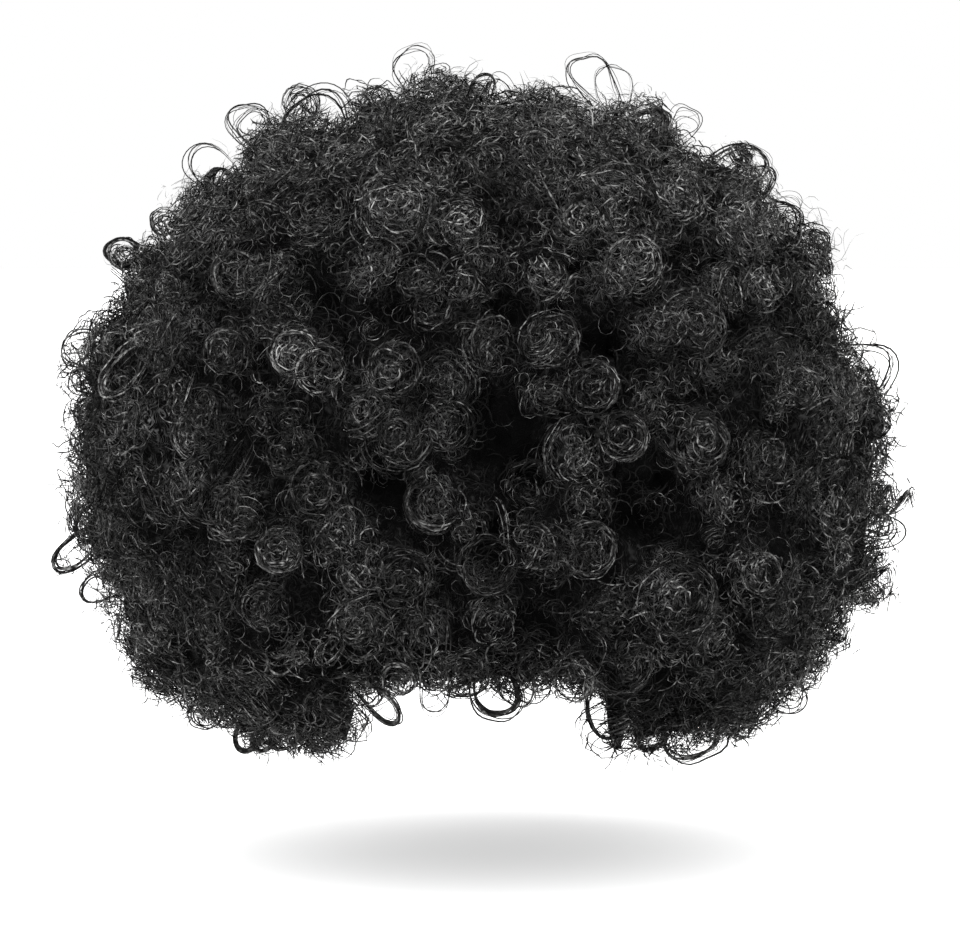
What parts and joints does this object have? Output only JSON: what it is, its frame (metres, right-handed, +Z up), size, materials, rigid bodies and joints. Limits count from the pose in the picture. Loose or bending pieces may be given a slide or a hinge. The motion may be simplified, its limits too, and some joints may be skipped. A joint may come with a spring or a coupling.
{
  "type": "afro wig",
  "caption": "Full round wig of short tight curls on a stretch cap with an edge band, with a fringe and side locks round an open face.",
  "frame": {"origin": "the cap's inside at the crown, where the top of the head touches it", "axes": "+Z up, the face opening towards -Y, the wearer's left at +X"},
  "size_m": [0.3909, 0.366, 0.3177],
  "materials": {
    "hair": "curled synthetic fibre, near black, with a slight silky sheen",
    "net": "matt black stretch net",
    "band": "matt black elastic tape"
  },
  "bodies": {
    "root": {"cap": "net", "edge_band": "band", "crown_hair": "hair", "fringe_hair": "hair", "side_hair_left": "hair", "side_hair_right": "hair", "back_hair": "hair"}
  },
  "joints": []
}
